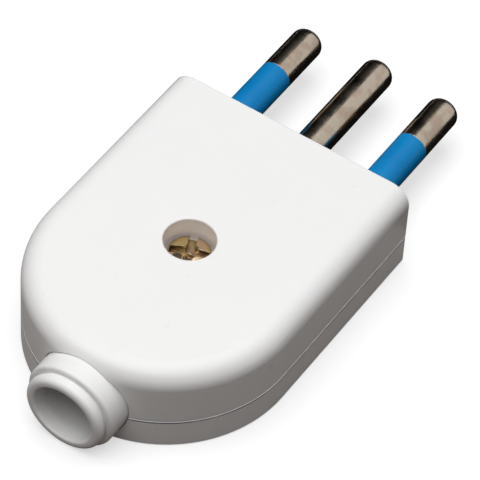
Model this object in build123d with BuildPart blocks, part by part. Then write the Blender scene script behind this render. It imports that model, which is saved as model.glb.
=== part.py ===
from build123d import *
from math import cos, pi, sqrt
import os

# In-line three-pin plug for 10 A, in two half shells closed by one screw. Millimetres.
# Origin on the earth pin's axis at the mating face, +Y along the pins, +Z up.
os.makedirs("parts", exist_ok=True)

# Contacts: three round pins in one row, each staked into a terminal block
pin_pitch = 9.5
pin_diameter = 4.0
pin_length = 19.0
earth_pin_length = 19.7
pin_end_radius = 1.2
root_diameter = 3.6
neck_diameter = 2.8
pin_mouth_depth = 0.3
sleeve_length = 11.3
block_width = 6.0
block_height = 5.6
block_length = 9.4
block_chamfer = 0.3
spigot_length = 3.4
wire_hole_diameter = 3.4
terminal_screw_setback = 6.2
terminal_screw_length = 4.2
terminal_screw_point = 0.4
terminal_head_diameter = 4.4
terminal_head_height = 1.3

# Housing, parted a little below the pins' axis
body_width = 32.0
top_height = 6.8
base_depth = 5.0
straight_length = 25.0
edge_radius = 2.5
base_edge_radius = 0.3
face_edge_radius = 0.2
seam_drop = 0.8
wall = 1.8
floor = 1.8
front_wall = 3.0
ceiling_edge_radius = 1.0
floor_edge_radius = 0.3
lip_height = 1.0
lip_thickness = 0.8
seam_bevel = 0.15

# Screw that closes the housing, M3, with its nut in the lower shell
screw_setback = 20.5
recess_diameter = 6.0
recess_depth = 3.6
recess_edge_radius = 0.2
boss_wall = 1.5
boss_neck_wall = 1.6
boss_shoulder = 1.8
housing_screw_length = 8.0
housing_head_diameter = 5.0
housing_head_height = 1.7
housing_head_dome = 0.4
drive_width = 1.0
drive_depth = 1.1
drive_reach = 2.3
drive_turn = 21.0
drive_centre_diameter = 2.2
drive_centre_tip = 0.5
drive_centre_depth = 1.5
nut_across_flats = 5.5
nut_height = 2.4
nut_chamfer = 0.3
nut_pocket_depth = 2.9

# Cable collar, held between the shells by two side lugs
bore_radius = 3.8
bore_length = 1.9
bore_edge_radius = 0.3
collar_reach = 3.5
bead_wall = 1.2
bead_edge_radius = 0.7
bead_back_radius = 0.15
bead_length = 1.1
bead_groove_depth = 0.2
bead_groove_width = 0.35
barrel_radius = 5.6
barrel_edge_radius = 0.4
barrel_wall = 1.2
lug_radius = 7.0
lug_thickness = 1.2
lug_flat = 3.8
collar_seat_wall = 1.3

# Cord clamp
clamp_setback = 30.0
clamp_bar_length = 19.0
clamp_bar_width = 5.0
clamp_bar_thickness = 2.4
clamp_bar_arch = 0.7
clamp_tooth_height = 0.5
clamp_tooth_spacing = 2.2
clamp_screw_spacing = 14.0
clamp_boss_diameter = 5.0
clamp_boss_top = 0.2
clamp_screw_diameter = 2.5
clamp_screw_length = 6.5
clamp_screw_point = 1.0
clamp_head_diameter = 4.4
clamp_head_height = 1.5
cradle_radius = 3.4
cradle_rib_width = 1.0
cradle_rib_spacing = 2.8
cradle_rib_top = -1.6

# Screws: M3 thread's outer size, edges of the small heads, taper of the tips, screwdriver slots
m3_diameter = 3.0
head_edge_chamfer = 0.25
tip_taper = 0.45
slot_width = 0.8
slot_depth = 0.7

# Seats and partitions inside the lower shell
barrier_thickness = 1.2
barrier_top = 3.4
rear_rib_thickness = 1.4
rear_rib_top = 1.6
wire_notch_width = 4.2
pad_width = 4.4
pad_height = 0.4
hold_down_setback = 1.4
hold_down_length = 1.4
hold_down_width = 4.8

# Fits
slide_clearance = 0.1
screw_clearance = 0.05
sleeve_clearance = 0.02
lip_clearance = 0.15

# How far a cut runs past the surface that it opens, and how near an edge lies to its stated place
cut_overrun = 1.0
edge_band = 0.001

# Sizes that follow from the ones above
half_width = body_width / 2
nose_centre_y = -straight_length
nose_y = nose_centre_y - half_width
seam_z = -seam_drop
floor_z = floor - base_depth
ceiling_z = top_height - floor
seat_z = top_height - recess_depth
screw_y = -screw_setback
clamp_y = -clamp_setback
pin_radius = pin_diameter / 2
root_radius = root_diameter / 2
neck_radius = neck_diameter / 2
block_front_y = -front_wall
block_back_y = block_front_y - block_length
block_bottom_z = floor_z + pad_height
block_top_z = block_bottom_z + block_height
terminal_screw_y = block_front_y - terminal_screw_setback
hold_down_y = block_front_y - hold_down_setback
boss_radius = recess_diameter / 2 + boss_wall
screw_hole_radius = m3_diameter / 2 + slide_clearance
nut_corner_radius = nut_across_flats / 2 / cos(pi / 6)
collar_hole_radius = barrel_radius + slide_clearance
bead_radius = bore_radius + bead_wall
groove_radius = bead_radius - bead_groove_depth
lug_pocket_half_width = lug_radius + slide_clearance
lug_front_y = nose_centre_y - sqrt((half_width - wall) ** 2 - lug_pocket_half_width**2)
lug_back_y = lug_front_y + lug_thickness
collar_seat_back_y = lug_back_y + slide_clearance + collar_seat_wall
collar_front_y = nose_y - collar_reach
contact_x = {"line": -pin_pitch, "earth": 0.0, "neutral": pin_pitch}
clamp_screw_x = {"left": -clamp_screw_spacing / 2, "right": clamp_screw_spacing / 2}


def plan_outline(inset, front_inset):
    """Plan of the housing, a rectangle with a half-round nose, drawn in from the outer wall."""
    radius = half_width - inset
    with BuildSketch() as outline:
        with BuildLine():
            Polyline(
                (-radius, nose_centre_y),
                (-radius, -front_inset),
                (radius, -front_inset),
                (radius, nose_centre_y),
            )
            ThreePointArc(
                (radius, nose_centre_y), (0, nose_centre_y - radius), (-radius, nose_centre_y)
            )
        make_face()
    return outline.sketch


def box_between(low, high, mode=Mode.ADD):
    """Adds or cuts a box given by its lowest and highest corners."""
    size = [top - bottom for bottom, top in zip(low, high)]
    centre = [(top + bottom) / 2 for bottom, top in zip(low, high)]
    with Locations(tuple(centre)):
        Box(*size, mode=mode)


def edges_at(sub_part, axis, place):
    """Edges of a sub-part whose middle lies at the given place along the axis."""
    return sub_part.edges().filter_by_position(axis, place - edge_band, place + edge_band)


def cut_tunnel(x, radius, back_y, front_y, open_down):
    """Cuts a round hole along Y at the pins' height, and in the upper shell its slot down."""
    with BuildSketch(Plane.XZ.offset(-front_y)) as tunnel:
        with Locations((x, 0)):
            Circle(radius)
        if open_down:
            with Locations((x, seam_z / 2)):
                Rectangle(2 * radius, seam_drop)
    extrude(tunnel.sketch, amount=front_y - back_y, mode=Mode.SUBTRACT)


def cut_pin_holes(open_down):
    """Cuts the pins' holes through the front wall, at the mouth wider than the pins themselves."""
    for x in contact_x.values():
        cut_tunnel(x, root_radius + slide_clearance, -front_wall, 0, open_down)
        cut_tunnel(x, pin_radius + slide_clearance, -pin_mouth_depth, 0, open_down)


def cut_collar_seat(open_down):
    """Cuts the collar's hole through the nose, the pocket of its lugs and the way in for the cord."""
    cut_tunnel(0, collar_hole_radius, nose_y - cut_overrun, lug_back_y + slide_clearance, open_down)
    cut_tunnel(0, bore_radius, lug_front_y, collar_seat_back_y, open_down)
    box_between(
        (-lug_pocket_half_width, lug_front_y - slide_clearance, -lug_flat - slide_clearance),
        (lug_pocket_half_width, lug_back_y + slide_clearance, lug_flat + slide_clearance),
        mode=Mode.SUBTRACT,
    )


def seat_block_outline():
    """Plan of the thick stretch behind the nose wall in which the collar sits."""
    with BuildSketch() as outline:
        add(plan_outline(wall / 2, front_wall))
        with Locations((0, (nose_y + collar_seat_back_y) / 2)):
            Rectangle(
                2 * (lug_pocket_half_width + collar_seat_wall),
                collar_seat_back_y - nose_y,
                mode=Mode.INTERSECT,
            )
    return outline.sketch


# Closed housing as one block: its top well rounded along the sides and the nose, its base sharp
with BuildPart() as envelope:
    with BuildSketch(Plane.XY.offset(-base_depth)):
        add(plan_outline(0, 0))
    extrude(amount=base_depth + top_height)
    top_rim = edges_at(envelope, Axis.Z, top_height).filter_by(Axis.X, reverse=True)
    base_rim = edges_at(envelope, Axis.Z, -base_depth).filter_by(Axis.X, reverse=True)
    fillet(top_rim, edge_radius)
    fillet(base_rim, base_edge_radius)
    fillet(envelope.faces().sort_by(Axis.Y)[-1].edges(), face_edge_radius)

# Lower shell
with BuildPart() as lower_shell:
    add(envelope.part)
    split(bisect_by=Plane.XY.offset(seam_z), keep=Keep.BOTTOM)
    chamfer(edges_at(lower_shell, Axis.Z, seam_z), seam_bevel)
    with BuildSketch(Plane.XY.offset(floor_z)):
        add(plan_outline(wall, front_wall))
    extrude(amount=seam_z - floor_z, mode=Mode.SUBTRACT)
    fillet(edges_at(lower_shell, Axis.Z, floor_z), floor_edge_radius)
    # Lip that the upper shell's rebate fits over
    with BuildSketch(Plane.XY.offset(seam_z)):
        add(plan_outline(wall - lip_thickness, front_wall + lip_clearance))
        add(plan_outline(wall, front_wall), mode=Mode.SUBTRACT)
    extrude(amount=lip_height)
    # Seats under the terminal blocks, barriers between them and a rib behind them
    for x in contact_x.values():
        box_between(
            (x - pad_width / 2, block_back_y, floor_z), (x + pad_width / 2, block_front_y, block_bottom_z)
        )
    rib_front_y = block_back_y - slide_clearance
    rib_back_y = rib_front_y - rear_rib_thickness
    box_between(
        (wall - half_width, rib_back_y, floor_z), (half_width - wall, rib_front_y, rear_rib_top)
    )
    for x in (-pin_pitch / 2, pin_pitch / 2):
        box_between(
            (x - barrier_thickness / 2, rib_back_y, floor_z),
            (x + barrier_thickness / 2, -front_wall - lip_clearance, barrier_top),
        )
    for x in contact_x.values():
        with BuildSketch(Plane.XZ.offset(-rib_front_y)):
            with Locations((x, 0)):
                Circle(wire_notch_width / 2)
            with Locations((x, rear_rib_top / 2)):
                Rectangle(wire_notch_width, rear_rib_top)
        extrude(amount=rear_rib_thickness, mode=Mode.SUBTRACT)
    # Boss over the nut's pocket
    with BuildSketch(Plane.XY.offset(floor_z)):
        with Locations((0, screw_y)):
            Circle(boss_radius)
    extrude(amount=seam_z - floor_z)
    # Bosses and cradle of the cord clamp
    with BuildSketch(Plane.XY.offset(floor_z)):
        with Locations(*[(x, clamp_y) for x in clamp_screw_x.values()]):
            Circle(clamp_boss_diameter / 2)
    extrude(amount=clamp_boss_top - floor_z)
    for y in (clamp_y - cradle_rib_spacing / 2, clamp_y + cradle_rib_spacing / 2):
        box_between(
            (-clamp_screw_spacing / 2, y - cradle_rib_width / 2, floor_z),
            (clamp_screw_spacing / 2, y + cradle_rib_width / 2, cradle_rib_top),
        )
    with BuildSketch(Plane.XZ.offset(-clamp_y)):
        Circle(cradle_radius)
    extrude(amount=clamp_boss_diameter / 2, both=True, mode=Mode.SUBTRACT)
    # Seat of the cable collar
    with BuildSketch(Plane.XY.offset(floor_z)):
        add(seat_block_outline())
    extrude(amount=seam_z - floor_z)
    cut_collar_seat(open_down=False)
    # Holes: pins, housing screw, nut pocket and pilot holes of the clamp screws
    cut_pin_holes(open_down=False)
    with Locations((0, screw_y, seam_z)):
        Hole(screw_hole_radius)
    with BuildSketch(Plane.XY.offset(-base_depth)):
        with Locations((0, screw_y)):
            RegularPolygon(nut_corner_radius + slide_clearance, 6)
    extrude(amount=nut_pocket_depth, mode=Mode.SUBTRACT)
    with Locations(*[(x, clamp_y, clamp_boss_top) for x in clamp_screw_x.values()]):
        Hole(
            clamp_screw_diameter / 2 + screw_clearance,
            depth=clamp_screw_length - clamp_bar_thickness + slide_clearance,
        )
lower_shell.part.label = "lower_shell"
export_step(lower_shell.part, "parts/lower_shell.step")

# Upper shell
with BuildPart() as upper_shell:
    add(envelope.part)
    split(bisect_by=Plane.XY.offset(seam_z), keep=Keep.TOP)
    chamfer(edges_at(upper_shell, Axis.Z, seam_z), seam_bevel)
    with BuildSketch(Plane.XY.offset(seam_z)):
        add(plan_outline(wall, front_wall))
    extrude(amount=ceiling_z - seam_z, mode=Mode.SUBTRACT)
    fillet(edges_at(upper_shell, Axis.Z, ceiling_z), ceiling_edge_radius)
    # Seat of the cable collar
    with BuildSketch(Plane.XY.offset(seam_z)):
        add(seat_block_outline())
    extrude(amount=ceiling_z - seam_z)
    cut_collar_seat(open_down=True)
    # Rebate over the lower shell's lip
    with BuildSketch(Plane.XY.offset(seam_z)):
        add(plan_outline(wall - lip_thickness - lip_clearance, front_wall))
        add(plan_outline(wall + lip_clearance, 0), mode=Mode.SUBTRACT)
    extrude(amount=lip_height + lip_clearance, mode=Mode.SUBTRACT)
    # Tabs that hold the terminal blocks down
    for x in contact_x.values():
        box_between(
            (x - hold_down_width / 2, hold_down_y - hold_down_length, block_top_z),
            (x + hold_down_width / 2, hold_down_y, ceiling_z),
        )
    # Screw boss, wide round the recess and narrow below it
    with BuildSketch(Plane.XY.offset(seat_z - boss_shoulder)):
        with Locations((0, screw_y)):
            Circle(boss_radius)
    extrude(amount=ceiling_z - seat_z + boss_shoulder)
    with BuildSketch(Plane.XY.offset(seam_z)):
        with Locations((0, screw_y)):
            Circle(screw_hole_radius + boss_neck_wall)
    extrude(amount=seat_z - boss_shoulder - seam_z)
    with Locations((0, screw_y, top_height)):
        CounterBoreHole(screw_hole_radius, recess_diameter / 2, recess_depth)
    recess_edge = upper_shell.faces().sort_by(Axis.Z)[-1].edges().filter_by(GeomType.CIRCLE)
    fillet(recess_edge.sort_by(SortBy.RADIUS)[:1], recess_edge_radius)
    cut_pin_holes(open_down=True)
upper_shell.part.label = "upper_shell"
export_step(upper_shell.part, "parts/upper_shell.step")

# Cable collar: lip bead, groove, barrel with a flat under it level with the base, and two lugs
with BuildPart() as cable_collar:
    groove_y = collar_front_y + bead_length
    barrel_front_y = groove_y + bead_groove_width
    with BuildSketch(Plane.YZ):
        with BuildLine():
            Polyline(
                (collar_front_y, bore_radius),
                (collar_front_y, bead_radius),
                (groove_y, bead_radius),
                (groove_y, groove_radius),
                (barrel_front_y, groove_radius),
                (barrel_front_y, barrel_radius),
                (lug_back_y, barrel_radius),
                (lug_back_y, barrel_radius - barrel_wall),
                (collar_front_y + bore_length, barrel_radius - barrel_wall),
                (collar_front_y + bore_length, bore_radius),
                close=True,
            )
        make_face()
    revolve(axis=Axis.Y)
    bore_ring, bead_ring = edges_at(cable_collar, Axis.Y, collar_front_y).sort_by(SortBy.RADIUS)
    bead_back_ring = edges_at(cable_collar, Axis.Y, groove_y).sort_by(SortBy.RADIUS)[-1]
    shoulder_ring = edges_at(cable_collar, Axis.Y, barrel_front_y).sort_by(SortBy.RADIUS)[-1]
    fillet(bead_ring, bead_edge_radius)
    fillet(bore_ring, bore_edge_radius)
    fillet(bead_back_ring, bead_back_radius)
    fillet(shoulder_ring, min(barrel_edge_radius, (barrel_radius - groove_radius) / 2))
    box_between(
        (-barrel_radius, groove_y + bead_groove_width / 2, -base_depth - barrel_radius),
        (barrel_radius, lug_back_y, -base_depth),
        mode=Mode.SUBTRACT,
    )
    with BuildSketch(Plane.XZ.offset(-lug_back_y)):
        Circle(lug_radius)
        Rectangle(2 * lug_radius, 2 * lug_flat, mode=Mode.INTERSECT)
        Circle(barrel_radius - barrel_wall, mode=Mode.SUBTRACT)
    extrude(amount=lug_thickness)
cable_collar.part.label = "cable_collar"
export_step(cable_collar.part, "parts/cable_collar.step")


def slotted_screw(x, y, seat, length, diameter, head_diameter, head_height, point):
    """Cheese-head screw with a straight slot, standing on its seat at height z = seat."""
    with BuildPart() as screw:
        with BuildSketch(Plane.XY.offset(seat)):
            with Locations((x, y)):
                Circle(head_diameter / 2)
        extrude(amount=head_height)
        chamfer(screw.faces().sort_by(Axis.Z)[-1].edges(), head_edge_chamfer)
        with BuildSketch(Plane.XY.offset(seat)):
            with Locations((x, y)):
                Circle(diameter / 2)
        extrude(amount=-length)
        chamfer(screw.faces().sort_by(Axis.Z)[0].edges(), length=point, length2=tip_taper)
        box_between(
            (x - head_diameter, y - slot_width / 2, seat + head_height - slot_depth),
            (x + head_diameter, y + slot_width / 2, seat + head_height),
            mode=Mode.SUBTRACT,
        )
    return screw.part


# Housing screw: low round head, its straight slot crossed by a second one and deeper in the middle
with BuildPart() as housing_screw:
    with BuildSketch(Plane.XZ.offset(screw_setback)):
        with BuildLine():
            head_top = seat_z + housing_head_height
            head_edge = head_top - housing_head_dome
            Polyline(
                (0, head_top),
                (0, seat_z - housing_screw_length),
                (m3_diameter / 2, seat_z - housing_screw_length),
                (m3_diameter / 2, seat_z),
                (housing_head_diameter / 2, seat_z),
                (housing_head_diameter / 2, head_edge),
            )
            RadiusArc(
                (housing_head_diameter / 2, head_edge),
                (0, head_top),
                -((housing_head_diameter / 2) ** 2 + housing_head_dome**2) / (2 * housing_head_dome),
            )
        make_face()
    revolve(axis=Axis((0, screw_y, 0), (0, 0, 1)))
    with BuildSketch(Plane.XY.offset(head_top)):
        with Locations(Location((0, screw_y), drive_turn)):
            Rectangle(drive_width, 2 * housing_head_diameter)
            Rectangle(2 * drive_reach, drive_width)
    extrude(amount=-drive_depth, mode=Mode.SUBTRACT)
    with Locations((0, screw_y, head_top - drive_centre_depth / 2)):
        Cone(
            drive_centre_tip / 2, drive_centre_diameter / 2, drive_centre_depth, mode=Mode.SUBTRACT
        )
housing_screw.part.label = "housing_screw"
export_step(housing_screw.part, "parts/housing_screw.step")

# Hexagon nut in the lower shell's pocket, its corners chamfered
with BuildPart() as housing_nut:
    nut_top = nut_pocket_depth - base_depth
    with BuildSketch(Plane.XY.offset(nut_top - nut_height)):
        with Locations((0, screw_y)):
            Circle(nut_corner_radius)
    extrude(amount=nut_height)
    chamfer(housing_nut.edges().filter_by(GeomType.CIRCLE), nut_chamfer)
    with BuildSketch(Plane.XY.offset(nut_top - nut_height)):
        with Locations((0, screw_y)):
            RegularPolygon(nut_corner_radius, 6)
    extrude(amount=nut_height, mode=Mode.INTERSECT)
    with Locations((0, screw_y, nut_top)):
        Hole(m3_diameter / 2 + screw_clearance)
housing_nut.part.label = "housing_nut"
export_step(housing_nut.part, "parts/housing_nut.step")


def turned_pin(x, bare, end_y):
    """Round pin, its end rounded: full size from the mating face if bare, else past its sleeve."""
    spigot_y = block_front_y - spigot_length
    round_y = end_y - pin_end_radius
    with BuildPart() as pin:
        with BuildSketch(Plane.YZ.offset(x)):
            with BuildLine():
                Polyline((end_y, 0), (spigot_y, 0), (spigot_y, neck_radius), (block_front_y, neck_radius))
                if bare:
                    Polyline(
                        (block_front_y, neck_radius),
                        (block_front_y, root_radius),
                        (0, root_radius),
                        (0, pin_radius),
                        (round_y, pin_radius),
                    )
                else:
                    Polyline(
                        (block_front_y, neck_radius),
                        (sleeve_length, neck_radius),
                        (sleeve_length, pin_radius),
                        (round_y, pin_radius),
                    )
                RadiusArc((round_y, pin_radius), (end_y, pin_radius - pin_end_radius), pin_end_radius)
                Line((end_y, pin_radius - pin_end_radius), (end_y, 0))
            make_face()
        revolve(axis=Axis((x, 0, 0), (0, 1, 0)))
    return pin.part


def insulating_sleeve(x):
    """Tube moulded on the pin's neck, flush with the pin, from the block to the pin's shoulder."""
    with BuildPart() as sleeve:
        with BuildSketch(Plane.YZ.offset(x)):
            with BuildLine():
                Polyline(
                    (block_front_y, neck_radius + sleeve_clearance),
                    (block_front_y, root_radius),
                    (0, root_radius),
                    (0, pin_radius),
                    (sleeve_length, pin_radius),
                    (sleeve_length, neck_radius + sleeve_clearance),
                    close=True,
                )
            make_face()
        revolve(axis=Axis((x, 0, 0), (0, 1, 0)))
    return sleeve.part


def terminal_block(x):
    """Square brass block: the pin's spigot in front, the wire's hole behind, the screw from above."""
    with BuildPart() as block:
        box_between(
            (x - block_width / 2, block_back_y, block_bottom_z),
            (x + block_width / 2, block_front_y, block_top_z),
        )
        chamfer(block.edges().filter_by(Axis.Y), block_chamfer)
        with BuildSketch(Plane.XZ.offset(-block_back_y)) as wire_hole:
            with Locations((x, 0)):
                Circle(wire_hole_diameter / 2)
        extrude(wire_hole.sketch, amount=spigot_length - block_length, mode=Mode.SUBTRACT)
        with BuildSketch(Plane.XZ.offset(-block_front_y)) as spigot_hole:
            with Locations((x, 0)):
                Circle(neck_radius + sleeve_clearance)
        extrude(spigot_hole.sketch, amount=spigot_length, mode=Mode.SUBTRACT)
        with BuildSketch(Plane.XY.offset(block_top_z)) as screw_hole:
            with Locations((x, terminal_screw_y)):
                Circle(m3_diameter / 2 + screw_clearance)
        hole_depth = terminal_screw_length + screw_clearance
        extrude(screw_hole.sketch, amount=-hole_depth, mode=Mode.SUBTRACT)
    return block.part


def keep(piece, name):
    """Names a finished piece and writes it."""
    piece.label = name
    export_step(piece, f"parts/{name}.step")


for name, x in contact_x.items():
    bare = name == "earth"
    keep(
        turned_pin(x, bare, end_y=earth_pin_length if bare else pin_length),
        f"{name}_pin",
    )
    if not bare:
        keep(insulating_sleeve(x), f"{name}_sleeve")
    keep(terminal_block(x), f"{name}_terminal_block")
    keep(
        slotted_screw(
            x,
            terminal_screw_y,
            seat=block_top_z,
            length=terminal_screw_length,
            diameter=m3_diameter,
            head_diameter=terminal_head_diameter,
            head_height=terminal_head_height,
            point=terminal_screw_point,
        ),
        f"{name}_terminal_screw",
    )

# Cord clamp bar: arched underneath, with two teeth that grip the cord
with BuildPart() as cord_clamp_bar:
    arch_radius = (cradle_radius**2 + clamp_bar_arch**2) / (2 * clamp_bar_arch)
    with BuildSketch(Plane.XY.offset(clamp_boss_top)):
        with Locations((0, clamp_y)):
            SlotOverall(clamp_bar_length, clamp_bar_width)
    extrude(amount=clamp_bar_thickness)
    with BuildSketch(Plane.XZ.offset(clamp_setback)):
        with Locations((0, clamp_boss_top + clamp_bar_arch - arch_radius)):
            Circle(arch_radius)
    extrude(amount=clamp_bar_width / 2, both=True, mode=Mode.SUBTRACT)
    for y in (clamp_y - clamp_tooth_spacing / 2, clamp_y + clamp_tooth_spacing / 2):
        box_between(
            (-cradle_radius / 2, y - slot_width / 2, clamp_boss_top + clamp_bar_arch - clamp_tooth_height),
            (cradle_radius / 2, y + slot_width / 2, clamp_boss_top + clamp_bar_arch),
        )
    with Locations(*[(x, clamp_y, clamp_boss_top) for x in clamp_screw_x.values()]):
        Hole(clamp_screw_diameter / 2 + slide_clearance)
keep(cord_clamp_bar.part, "cord_clamp_bar")

for side, x in clamp_screw_x.items():
    keep(
        slotted_screw(
            x,
            clamp_y,
            seat=clamp_boss_top + clamp_bar_thickness,
            length=clamp_screw_length,
            diameter=clamp_screw_diameter,
            head_diameter=clamp_head_diameter,
            head_height=clamp_head_height,
            point=clamp_screw_point,
        ),
        f"cord_clamp_screw_{side}",
    )
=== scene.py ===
# %% [markdown]
# # A three-pin plug with a blue-sleeved pair of pins
# The plug lies on a pale table, seen from behind and above, its cord collar towards us and its
# pins pointing away. The solids come ready made from the CAD model. This lesson adds what the
# solids lack: finishes, light and a camera.

# %% Load the solids
import bpy
from math import cos, pi, radians, sin
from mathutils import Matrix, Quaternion, Vector


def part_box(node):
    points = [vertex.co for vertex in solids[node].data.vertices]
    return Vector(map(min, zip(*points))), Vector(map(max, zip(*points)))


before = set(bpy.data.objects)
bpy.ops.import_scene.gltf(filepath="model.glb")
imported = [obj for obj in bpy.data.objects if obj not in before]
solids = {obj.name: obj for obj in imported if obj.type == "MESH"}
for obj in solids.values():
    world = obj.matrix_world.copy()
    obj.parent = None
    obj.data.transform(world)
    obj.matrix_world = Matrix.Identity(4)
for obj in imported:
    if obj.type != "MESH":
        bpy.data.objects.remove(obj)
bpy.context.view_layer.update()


def in_mm(lengths):
    """Lengths in metres, as millimetres to print."""
    return [round(1000 * length, 2) for length in lengths]


# %% [markdown]
# ## The camera
# A photographer stands back and zooms in on a small thing like this, so that its far end looks
# hardly smaller than its near one. A long lens 40 cm away does the same. The camera could be
# turned by hand until the picture looks right. Three angles and the point that it looks at say
# the same thing, and are easier to write down and to correct.

# %% Camera
camera_azimuth = radians(31.33)
camera_elevation = radians(49.07)
camera_roll = radians(3.77)
camera_distance = 0.4
camera_target = Vector((0.00195, -0.01309, 0.00108))

photographer = bpy.data.cameras.new("photographer")
photographer.sensor_width = 36.0
photographer.lens = 266.5
photographer.clip_start = 0.01
camera = bpy.data.objects.new("camera", photographer)
bpy.context.scene.collection.objects.link(camera)
bpy.context.scene.camera = camera

towards_camera = Vector((
    sin(camera_azimuth) * cos(camera_elevation),
    -cos(camera_azimuth) * cos(camera_elevation),
    sin(camera_elevation),
))
roll = Quaternion((0, 0, 1), camera_roll)
camera.location = camera_target + camera_distance * towards_camera
camera.rotation_mode = "QUATERNION"
camera.rotation_quaternion = towards_camera.to_track_quat("Z", "Y") @ roll
print("camera at", in_mm(camera.location), "mm, with a lens of", photographer.lens, "mm")

# %% [markdown]
# ## Helpers that make nodes
# A material is a tree of nodes, and each node takes three or four lines to make and wire by hand.
# A few short helpers keep the finishes below readable. They make a node, feed its inputs with
# values or with wires from other nodes, and start a material or a node group. A group is a small
# tree of its own with named inputs, which several materials can use with their own values.

# %% Node helpers
def feed(tree, node, inputs):
    """Gives each named input of a node a value or a wire."""
    for name, value in inputs.items():
        if isinstance(value, bpy.types.NodeSocket):
            tree.links.new(value, node.inputs[name])
        else:
            node.inputs[name].default_value = value


def add_node(tree, kind, inputs=None, **settings):
    """Makes a node, sets its properties and feeds its inputs."""
    node = tree.nodes.new("ShaderNode" + kind)
    for name, value in settings.items():
        setattr(node, name, value)
    feed(tree, node, inputs or {})
    return node


def start_material(name):
    """A new material: itself, its node tree and its Principled shader."""
    material = bpy.data.materials.new(name)
    material.use_nodes = True
    tree = material.node_tree
    return material, tree, tree.nodes["Principled BSDF"]


def start_group(name, inputs, outputs):
    """A new node group: its tree, the sockets of its given values and its result node."""
    tree = bpy.data.node_groups.new(name, "ShaderNodeTree")
    for in_out, sockets in (("INPUT", inputs), ("OUTPUT", outputs)):
        for socket_name, kind in sockets.items():
            tree.interface.new_socket(socket_name, in_out=in_out, socket_type="NodeSocket" + kind)
    return tree, tree.nodes.new("NodeGroupInput").outputs, tree.nodes.new("NodeGroupOutput")


def use_group(tree, group, inputs):
    """Places a node group in a material with this material's own values, and gives its outputs."""
    return add_node(tree, "Group", inputs, node_tree=group).outputs


print("helpers that make nodes are ready")

# %% [markdown]
# ## Helpers that work out a pattern
# Worn and moulded surfaces come from a few steps that return again and again: a cloudy noise, the
# part of it that matters stretched from 0 to 1, a sum or a product, a blend of two colours and a
# relief too fine to be worth a mesh. Each gets a name of its own here. The plug's patterns are laid
# out in its own metres, so a scale of 500 makes spots about 2 mm apart.

# %% Pattern helpers
def object_place(tree):
    """Where a point of the surface lies on the object, in metres."""
    return add_node(tree, "TexCoord").outputs["Object"]


def noise(tree, place, scale, detail, roughness=0.5, distortion=0.0):
    """A cloudy pattern that runs from 0 to 1, with finer spots for a larger scale."""
    return add_node(tree, "TexNoise", {
        "Vector": place, "Scale": scale, "Detail": detail, "Roughness": roughness, "Distortion": distortion,
    }).outputs["Fac"]


def maths(tree, operation, *numbers):
    """What one operation makes of its numbers."""
    return add_node(tree, "Math", dict(enumerate(numbers)), operation=operation).outputs[0]


def remap(tree, value, span, result=(0.0, 1.0)):
    """Stretches a span of a value's range over another range, and stops at the ends."""
    limits = {"From Min": span[0], "From Max": span[1], "To Min": result[0], "To Max": result[1]}
    return add_node(tree, "MapRange", {"Value": value, **limits}).outputs[0]


def blend(tree, share, colour, other_colour):
    """Turns one colour into another by a share from 0 to 1."""
    # The Mix node has sockets for each kind of value: inputs 6 and 7 and output 2 are its colours.
    return add_node(tree, "Mix", {"Factor": share, 6: colour, 7: other_colour}, data_type="RGBA").outputs[2]


def bump(tree, pattern, relief_height, edges=None):
    """Bends the light as a relief of this height would, on rounded edges where they are given."""
    inputs = {"Height": pattern, "Distance": relief_height, "Strength": 1.0}
    if edges is not None:
        inputs["Normal"] = edges
    return add_node(tree, "Bump", inputs).outputs["Normal"]


print("helpers that work out a pattern are ready")

# %% [markdown]
# ## Table and background
# The picture's background is plain white. More light would make the table white, but it would
# burn out the plug too. So the table glows a little for the camera and for mirror-like
# reflections only, and is a dark warm grey to the light that bounces about. The plug's shadow
# still falls on it.

# %% Table
table_reach = 3.0
table_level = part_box("lower_shell")[0].z
bpy.ops.mesh.primitive_plane_add(size=2 * table_reach, location=(0, 0, table_level))
table = bpy.context.object
table.name = "table"
print("table at", in_mm([table_level]), "mm")

# %% Table finish
table_glow = 0.56
table_tones = (0.50, 0.52)
colour_for_bounces = (0.09, 0.068, 0.058, 1)

table_finish, tree, surface = start_material("table")
rays = add_node(tree, "LightPath").outputs
seen_directly = maths(tree, "MAXIMUM", rays["Is Camera Ray"], rays["Is Glossy Ray"])
seen = maths(tree, "MAXIMUM", seen_directly, rays["Is Transmission Ray"])
grain = add_node(tree, "TexNoise", {"Scale": 60.0, "Detail": 3.0}).outputs["Fac"]
seen_tone = remap(tree, grain, span=(0.0, 1.0), result=table_tones)
feed(tree, surface, {
    "Base Color": blend(tree, seen, colour_for_bounces, seen_tone),
    "Roughness": 0.9,
    "Specular IOR Level": 0.0,
    "Emission Color": (1, 1, 1, 1),
    "Emission Strength": maths(tree, "MULTIPLY", seen, table_glow),
})
table.data.materials.append(table_finish)
print("table glows with", table_glow, "where it is seen")

# %% [markdown]
# ## The sky
# The world round the plug is a dark grey and lights it hardly at all, because an even glow from
# all sides would take the shade off the plug's walls. Reflections get a good part of that grey, so
# that metal that mirrors the sky isn't quite black. Only a direct look would show it in full, and
# the camera looks down on the table and never sees it. Light Path tells the kinds of ray apart.

# %% Sky
sky_grey = (0.05, 0.05, 0.05, 1)
sky_light = 0.04
sky_in_reflections = 0.6

world = bpy.data.worlds.new("studio")
bpy.context.scene.world = world
world.use_nodes = True
tree = world.node_tree
rays = add_node(tree, "LightPath").outputs
sky_seen = maths(tree, "MAXIMUM", rays["Is Camera Ray"], rays["Is Transmission Ray"])
sky_level = remap(tree, sky_seen, span=(0.0, 1.0), result=(sky_light, 1.0))
sky_strength = remap(tree, rays["Is Glossy Ray"], span=(0.0, 1.0), result=(sky_level, sky_in_reflections))
feed(tree, tree.nodes["Background"], {"Color": sky_grey, "Strength": sky_strength})
print("sky gives", sky_light, "of its grey as a light and", sky_in_reflections, "in reflections")

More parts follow.
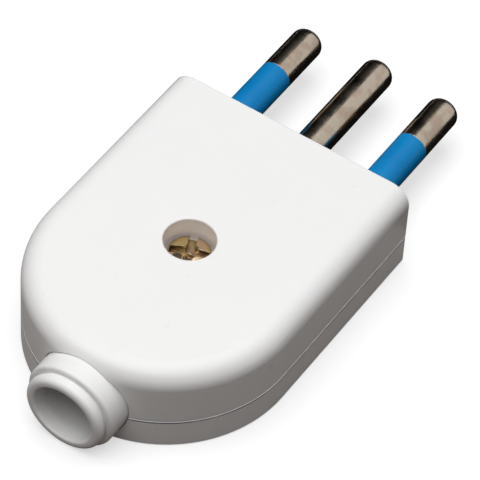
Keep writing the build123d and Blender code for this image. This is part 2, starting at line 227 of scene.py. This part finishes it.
# %% [markdown]
# ## The lamp
# The plug's top is almost white and its walls are grey, so nearly all the light comes from
# above, leaning a little to our side, where it also reaches into the recess and the cord collar.
# The sum below gives the power at which a small lamp lights a surface that faces it to a given
# level, where 1 shows a colour as it is written. This softbox is wider than it is far, and much
# of its light comes in at a slant, which loses over a third. A level of 1.66 makes up for that
# and gives about 1.05 on the plug's top.

# %% Lamp
lamp_level = 1.66
lamp_distance = 0.9
lamp_side = 1.2
towards_lamp = Vector((-0.02, -0.09, 1.0)).normalized()

softbox = bpy.data.lights.new("main_light", "AREA")
softbox.shape = "SQUARE"
softbox.size = lamp_side
softbox.energy = lamp_level * pi**2 * lamp_distance**2
lamp = bpy.data.objects.new("main_light", softbox)
bpy.context.scene.collection.objects.link(lamp)
lamp.location = camera_target + lamp_distance * towards_lamp
lamp.rotation_mode = "QUATERNION"
lamp.rotation_quaternion = towards_lamp.to_track_quat("Z", "Y")
print("lamp of", round(softbox.energy, 2), "W")

# %% [markdown]
# ## Cards for the reflections
# Bare metal has hardly a colour of its own and shows the room instead. In a white room the pins
# would look like white plastic. A photographer stands dark cards, called flags, where the metal
# mirrors them, and one pale card for the bright streak along each pin. The cards here show up in
# reflections only. A grey one round the housing keeps its glossy walls from mirroring the table.

# %% Card finishes
card_unevenness = 0.1


def card_finish(name, tone, glow=0.0):
    """A matt card of one colour, faintly uneven, that may glow."""
    material, tree, surface = start_material(name)
    fibre = add_node(tree, "TexNoise", {"Scale": 300.0, "Detail": 2.0}).outputs["Fac"]
    darker = [(1 - card_unevenness) * channel for channel in tone] + [1]
    lighter = [(1 + card_unevenness) * channel for channel in tone] + [1]
    feed(tree, surface, {
        "Base Color": blend(tree, fibre, darker, lighter),
        "Roughness": 1.0,
        "Specular IOR Level": 0.0,
        "Emission Color": (1, 1, 1, 1),
        "Emission Strength": glow,
    })
    print(name, "with a tone of", tone, "and a glow of", glow)
    return material


black_card = card_finish("black_card", (0.006, 0.006, 0.006))
grey_card = card_finish("grey_card", (0.36, 0.33, 0.31))
pale_card = card_finish("pale_card", (0.01, 0.01, 0.01), glow=0.6)

# %% [markdown]
# ## Where the cards stand
# Each card is spanned between two edges that run along the pins. The black flag on the left and
# the pale card on the right lean over the plug like a roof. The other two lie on the table: the
# grey one round the housing and the low black one under the pins, which meet just past the face
# that the pins stand out of.

# %% Cards
def card(name, finish, edge, other_edge, reach):
    """A card that only reflections see. An edge is an x and a height, and reach is where it runs in y."""
    near, far = reach
    corners = [
        (edge[0], near, edge[1]), (edge[0], far, edge[1]),
        (other_edge[0], far, other_edge[1]), (other_edge[0], near, other_edge[1]),
    ]
    mesh = bpy.data.meshes.new(name)
    mesh.from_pydata(corners, [], [(0, 1, 2, 3)])
    mesh.materials.append(finish)
    made = bpy.data.objects.new(name, mesh)
    bpy.context.scene.collection.objects.link(made)
    for kind in ("camera", "diffuse", "transmission", "volume_scatter", "shadow"):
        setattr(made, "visible_" + kind, False)
    print(name, "from", in_mm(corners[0]), "to", in_mm(corners[2]), "mm")


card_gap = 0.0002
on_table = table_level + card_gap
flags_meet = 0.004
card("left_flag", black_card, edge=(-0.45, on_table), other_edge=(-0.06, 0.42), reach=(-0.1, 0.8))
card("low_flag", black_card, edge=(0.14, on_table), other_edge=(-0.34, on_table), reach=(flags_meet, 0.16))
card("wall_flag", grey_card, edge=(0.14, on_table), other_edge=(-0.12, on_table), reach=(-0.16, flags_meet))
card("right_card", pale_card, edge=(-0.05, 0.5), other_edge=(0.6, 0.02), reach=(-0.2, 0.9))

# %% [markdown]
# ## What moulded plastic has in common
# Smooth moulded plastic is never quite even. The melt leaves faint clouds in the colour, the tool's
# polish leaves a fine ripple that only reflections show, and handling dulls it in places. A picture
# of such a surface would do, but noises of different scale stay sharp at any distance. The shells,
# the sleeves and the clamp share this group, each with its own values.

# %% Moulded surface
moulded_surface, given, result = start_group(
    "Moulded surface",
    {
        "Colour": "Color", "Cloud tint": "Color", "Clouds": "Float",
        "Dullness": "Float", "Dullness change": "Float",
    },
    {"Colour": "Color", "Roughness": "Float", "Ripple": "Float"},
)
slow_ripple_share = 3.0

tree = moulded_surface
place = object_place(tree)
clouds = noise(tree, place, scale=110.0, detail=3.0, distortion=0.6)
cloud_share = maths(tree, "MULTIPLY", remap(tree, clouds, span=(0.35, 0.7)), given["Clouds"])
handling = noise(tree, place, scale=420.0, detail=6.0, roughness=0.65)
handling_change = remap(tree, handling, span=(0.3, 0.7), result=(-1.0, 1.0))
fine_ripple = noise(tree, place, scale=900.0, detail=1.0)
slow_ripple = noise(tree, place, scale=160.0, detail=1.0)
feed(tree, result, {
    "Colour": blend(tree, cloud_share, given["Colour"], given["Cloud tint"]),
    "Roughness": maths(tree, "MULTIPLY_ADD", handling_change, given["Dullness change"], given["Dullness"]),
    "Ripple": maths(tree, "MULTIPLY_ADD", slow_ripple, slow_ripple_share, fine_ripple),
})
print("group:", moulded_surface.name)

# %% [markdown]
# ## Painted shade and grime in corners
# Dust gathers where surfaces meet, and shade falls there too: in the screw's slot, at the foot of a pin,
# along the parting line. Blender can measure how shut in a point is, and a noise breaks that up. The group
# gives a mask, and each material decides what to do with it. Darkening by this mask is painted shade as well
# as dust.

# %% Painted shade and grime in corners
shade_and_grime_in_corners, given, result = start_group(
    "Painted shade and grime in corners", {"Reach": "Float", "Amount": "Float"}, {"Mask": "Float"}
)

tree = shade_and_grime_in_corners
# Painted shade: the more shut in a point is, the more the materials that use this mask darken it. The noise
# adds dust.
openness = add_node(tree, "AmbientOcclusion", {"Distance": given["Reach"]}, samples=8).outputs["AO"]
shut_in = remap(tree, openness, span=(0.35, 0.9), result=(1.0, 0.0))
dust = noise(tree, object_place(tree), scale=1500.0, detail=5.0)
patchy = remap(tree, dust, span=(0.3, 0.6), result=(0.5, 1.0))
shade_and_grime = maths(tree, "MULTIPLY", shut_in, patchy)
feed(tree, result, {"Mask": maths(tree, "MULTIPLY", shade_and_grime, given["Amount"])})
print("group:", shade_and_grime_in_corners.name)

# %% [markdown]
# ## Where the white plastic changes
# Two places of the housing need a colour of their own: a thin band just under the bevels of the parting
# line, which is painted dark as a shadow, and the screw's recess, whose wall is painted lighter and warmer,
# as light bouncing off the gold screw would make it. A painted mask would have to be redone whenever the
# model changes. Both are found from the solids' own measures instead.

# %% Seam and recess
screw_low, screw_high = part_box("housing_screw")
screw_axis = ((screw_low.x + screw_high.x) / 2, (screw_low.y + screw_high.y) / 2, 0)
recess_radius = 0.0030
recess_fade_radius = 1.08 * recess_radius
seam_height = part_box("upper_shell")[0].z
bevel_height = 0.00015
# Painted shadow: the height of the dark band painted just under the parting line's bevels.
seam_shadow_height = 0.00020
seam_shadow_middle = seam_height - bevel_height - seam_shadow_height / 2
print("seam at", in_mm([seam_height]), "mm, screw axis at", in_mm(screw_axis), "mm")

# %% [markdown]
# ## The white housing
# The two shells and the cord collar are one glossy white thermoplastic. The colour is a little warm and
# stops short of full white, so that the lamp can still draw highlights on it. The ripple is only a few
# thousandths of a millimetre high, enough to make a reflection waver. The collar is one piece without a
# parting line, so it gets the same finish with no painted shadow under a seam.

# %% White plastic
housing_white = (0.86, 0.855, 0.85, 1)
cloud_white = (0.80, 0.80, 0.80, 1)
# Painted bounce light: the recess wall is painted lighter and warmer, as light thrown back by the gold screw
# would make it.
recess_bounce_colour = (0.94, 0.88, 0.85, 1)
# Painted shade and dust: the grey that shut-in corners of the white plastic are darkened towards.
corner_dust_and_shade = (0.40, 0.39, 0.38, 1)
# Painted shadow: the near-black colour of the band under the parting line's bevels.
seam_shadow_colour = (0.10, 0.09, 0.085, 1)
corner_reach = 0.0012
white_ripple_height = 0.000004


def white_moulding(name, seam_shadow_amount):
    """The glossy white plastic, with painted shade in its corners, painted bounce light in the screw's
    recess and as much of the painted shadow under the parting line as its piece has.
    """
    material, tree, surface = start_material(name)
    moulded = use_group(tree, moulded_surface, {
        "Colour": housing_white, "Cloud tint": cloud_white, "Clouds": 0.15,
        "Dullness": 0.32, "Dullness change": 0.05,
    })
    place = object_place(tree)
    in_plan = add_node(tree, "VectorMath", {0: place, 1: (1, 1, 0)}, operation="MULTIPLY").outputs[0]
    from_screw = add_node(tree, "VectorMath", {0: in_plan, 1: screw_axis}, operation="DISTANCE")
    recess_span = (recess_radius, recess_fade_radius)
    in_recess = remap(tree, from_screw.outputs["Value"], span=recess_span, result=(1.0, 0.0))
    # Painted bounce light on the wall of the screw's recess.
    with_recess_bounce = blend(tree, in_recess, moulded["Colour"], recess_bounce_colour)

    # Painted shade and dust in shut-in corners.
    corners = use_group(tree, shade_and_grime_in_corners, {"Reach": corner_reach, "Amount": 0.08})
    dusty_and_shaded = blend(tree, corners["Mask"], with_recess_bounce, corner_dust_and_shade)

    height = add_node(tree, "SeparateXYZ", {0: place}).outputs["Z"]
    # Painted shadow: a dark band just under the bevels of the parting line, broken up by a noise.
    below_bevels = maths(tree, "COMPARE", height, seam_shadow_middle, seam_shadow_height / 2)
    seam_shadow_breakup = noise(tree, place, scale=220.0, detail=4.0)
    seam_shadow_strength = remap(tree, seam_shadow_breakup, span=(0.35, 0.6), result=(0.5 * seam_shadow_amount, seam_shadow_amount))
    painted_seam_shadow = maths(tree, "MULTIPLY", below_bevels, seam_shadow_strength)
    feed(tree, surface, {
        "Base Color": blend(tree, painted_seam_shadow, dusty_and_shaded, seam_shadow_colour),
        "Roughness": moulded["Roughness"],
        "Specular IOR Level": 0.4,
        "Normal": bump(tree, moulded["Ripple"], white_ripple_height),
    })
    return material


def dress(material, names):
    """Gives the named solids this finish."""
    for name in names:
        solids[name].data.materials.clear()
        solids[name].data.materials.append(material)
    print(material.name, "on", ", ".join(names))


dress(white_moulding("white_plastic", seam_shadow_amount=1.0), ["upper_shell", "lower_shell"])
dress(white_moulding("white_collar_plastic", seam_shadow_amount=0.0), ["cable_collar"])

# %% [markdown]
# ## Lengthwise scratches
# A pin that slides in and out of sockets gets fine lines along it. They could be drawn one by one,
# but a noise that is stretched along the pin gives hundreds at once. The sleeves and the metal
# both use it, so it is a group.

# %% Lengthwise scratches
lengthwise_scratches, given, result = start_group(
    "Lengthwise scratches", {"Fineness": "Float", "Share": "Float"}, {"Mask": "Float"}
)
stretch_along_pin = (1.0, 0.035, 1.0)

tree = lengthwise_scratches
stretched = add_node(tree, "VectorMath", {0: object_place(tree), 1: stretch_along_pin}, operation="MULTIPLY")
streaks = noise(tree, stretched.outputs[0], scale=given["Fineness"], detail=2.0, roughness=0.6)
faintest_streak = maths(tree, "SUBTRACT", 1.0, given["Share"])
feed(tree, result, {"Mask": remap(tree, streaks, span=(faintest_streak, 0.9))})
print("group:", lengthwise_scratches.name)

# %% [markdown]
# ## The blue sleeves
# The insulation on the outer pins is moulded on. It is duller than the housing and deep blue, with
# hardly any red in it, so its highlights are kept low: a white sheen would make it look pale. The
# scratches show as a slightly lighter blue.

# %% Blue sleeves
sleeve_blue = (0.002, 0.22, 0.52, 1)
cloud_blue = (0.001, 0.17, 0.47, 1)
scratch_blue = (0.03, 0.31, 0.62, 1)
scratch_strength = 0.2
sleeve_scratch_depth = 0.4
sleeve_relief_height = 0.000005

blue_sleeve, tree, surface = start_material("blue_sleeve")
moulded = use_group(tree, moulded_surface, {
    "Colour": sleeve_blue, "Cloud tint": cloud_blue, "Clouds": 0.6,
    "Dullness": 0.36, "Dullness change": 0.08,
})
scratches = use_group(tree, lengthwise_scratches, {"Fineness": 5000.0, "Share": 0.42})["Mask"]
lighter_share = maths(tree, "MULTIPLY", scratches, scratch_strength)
sleeve_relief = maths(tree, "MULTIPLY_ADD", scratches, -sleeve_scratch_depth, moulded["Ripple"])
feed(tree, surface, {
    "Base Color": blend(tree, lighter_share, moulded["Colour"], scratch_blue),
    "Roughness": moulded["Roughness"],
    "Specular IOR Level": 0.25,
    "Normal": bump(tree, sleeve_relief, sleeve_relief_height),
})
dress(blue_sleeve, ["line_sleeve", "neutral_sleeve"])

# %% [markdown]
# ## Turned metal
# Pins and screws come off a lathe, whose tool leaves rings so fine that they only blur a
# reflection in one direction. A one-dimensional noise along the work's axis gives them, uneven as
# real ones are.

# %% Turning marks
turning_marks, given, result = start_group(
    "Turning marks", {"Along": "Float", "Fineness": "Float"}, {"Rings": "Float"}
)

tree = turning_marks
rings = add_node(
    tree, "TexNoise", {"W": given["Along"], "Scale": given["Fineness"], "Detail": 3.0, "Roughness": 0.7},
    noise_dimensions="1D",
)
feed(tree, result, {"Rings": rings.outputs["Fac"]})
print("group:", turning_marks.name)

# %% [markdown]
# ## The pins
# The pins are brass with a thin nickel plating that has gone slightly warm. They mirror the room,
# so most of their look comes from what stands round them, and the finish only adds turning marks,
# scratches from use and a little dullness. A bevel node bends the light at sharp edges, as a small
# chamfer there would, and leaves the mesh alone.

# %% Nickel-plated pins
contacts = ("line", "earth", "neutral")
plating_colour = (0.72, 0.62, 0.50, 1)
stain_colour = (0.54, 0.41, 0.32, 1)
pin_scratch_depth = 0.6
stain_relief = 6.0
pin_edge_radius = 0.00022
pin_relief_height = 0.000004


def rounded_edges(tree, radius):
    """The surface's direction as if its sharp edges were rounded."""
    return add_node(tree, "Bevel", {"Radius": radius}, samples=6).outputs["Normal"]


nickel_plated_brass, tree, surface = start_material("nickel_plated_brass")
place = object_place(tree)
along_pin = add_node(tree, "SeparateXYZ", {0: place}).outputs["Y"]
rings = use_group(tree, turning_marks, {"Along": along_pin, "Fineness": 7000.0})["Rings"]
scratches = use_group(tree, lengthwise_scratches, {"Fineness": 4000.0, "Share": 0.45})["Mask"]
stains = noise(tree, place, scale=500.0, detail=4.0)
stain_share = remap(tree, stains, span=(0.46, 0.62), result=(0.0, 0.75))
scratched = maths(tree, "MULTIPLY_ADD", scratches, -pin_scratch_depth, rings)
pin_relief = maths(tree, "MULTIPLY_ADD", stains, stain_relief, scratched)
feed(tree, surface, {
    "Base Color": blend(tree, stain_share, plating_colour, stain_colour),
    "Metallic": 1.0,
    "Roughness": remap(tree, stains, span=(0.3, 0.8), result=(0.14, 0.28)),
    "Normal": bump(tree, pin_relief, pin_relief_height, rounded_edges(tree, pin_edge_radius)),
})
dress(nickel_plated_brass, [contact + "_pin" for contact in contacts])

# %% [markdown]
# ## The screws, the nut and the terminals
# The housing screw is zinc plated and yellow passivated, which gives gold with patches of green
# and pink. The small screws and the nut are plain bright zinc, and the terminals are sawn brass.
# One function makes all three: a metal with patches of a second colour, turning marks, corners darkened with
# painted shade and tarnish, and edges that a bevel node rounds a little, so that they catch the light.

# %% Small metal parts
small_edge_radius = 0.00018
small_relief_height = 0.000003


def small_metal(name, colour, patch_colour, tarnish_and_shade_colour, patch_size, dullness):
    """A plated or sawn metal: patches of a second colour, turning marks, corners darkened with painted shade
    and tarnish.
    """
    material, tree, surface = start_material(name)
    place = object_place(tree)
    upright = add_node(tree, "SeparateXYZ", {0: place}).outputs["Z"]
    rings = use_group(tree, turning_marks, {"Along": upright, "Fineness": 6000.0})["Rings"]
    patches = noise(tree, place, scale=1 / patch_size, detail=3.0, distortion=1.0)
    patched = blend(tree, remap(tree, patches, span=(0.42, 0.62)), colour, patch_colour)
    # Painted shade and tarnish: shut-in corners are darkened towards the tarnish colour.
    corners = use_group(tree, shade_and_grime_in_corners, {"Reach": corner_reach, "Amount": 1.0})
    feed(tree, surface, {
        "Base Color": blend(tree, corners["Mask"], patched, tarnish_and_shade_colour),
        "Metallic": 1.0,
        "Roughness": remap(tree, patches, span=(0.3, 0.7), result=(dullness - 0.05, dullness + 0.08)),
        "Normal": bump(tree, rings, small_relief_height, rounded_edges(tree, small_edge_radius)),
    })
    return material


yellow_zinc_steel = small_metal(
    "yellow_zinc_steel", colour=(0.84, 0.64, 0.44, 1), patch_colour=(0.76, 0.63, 0.28, 1),
    tarnish_and_shade_colour=(0.12, 0.07, 0.035, 1), patch_size=0.0026, dullness=0.19,
)
zinc_steel = small_metal(
    "zinc_steel", colour=(0.62, 0.63, 0.65, 1), patch_colour=(0.52, 0.54, 0.60, 1),
    tarnish_and_shade_colour=(0.12, 0.12, 0.12, 1), patch_size=0.0014, dullness=0.28,
)
bare_brass = small_metal(
    "bare_brass", colour=(0.78, 0.60, 0.30, 1), patch_colour=(0.70, 0.50, 0.24, 1),
    tarnish_and_shade_colour=(0.16, 0.09, 0.03, 1), patch_size=0.0020, dullness=0.30,
)
dress(yellow_zinc_steel, ["housing_screw"])
dress(zinc_steel, ["housing_nut", "cord_clamp_screw_left", "cord_clamp_screw_right"])
dress(zinc_steel, [contact + "_terminal_screw" for contact in contacts])
dress(bare_brass, [contact + "_terminal_block" for contact in contacts])

# %% [markdown]
# ## The cord clamp
# The clamp bar inside is moulded polyamide, off-white and matt. It has stronger clouds than the
# housing and a duller surface, because nobody polishes the tool for a hidden part.

# %% Clamp plastic
clamp_white = (0.78, 0.76, 0.70, 1)
cloud_grey = (0.68, 0.65, 0.58, 1)
clamp_ripple_height = 0.00001

clamp_plastic, tree, surface = start_material("clamp_plastic")
moulded = use_group(tree, moulded_surface, {
    "Colour": clamp_white, "Cloud tint": cloud_grey, "Clouds": 0.7,
    "Dullness": 0.55, "Dullness change": 0.08,
})
feed(tree, surface, {
    "Base Color": moulded["Colour"],
    "Roughness": moulded["Roughness"],
    "Normal": bump(tree, moulded["Ripple"], clamp_ripple_height),
})
dress(clamp_plastic, ["cord_clamp_bar"])

# %% [markdown]
# ## View
# The Standard view shows each colour as it is written, where Blender's usual view would soften the contrast
# as film does. No finish here moves a surface.

# %% View settings
bpy.context.scene.view_settings.view_transform = "Standard"
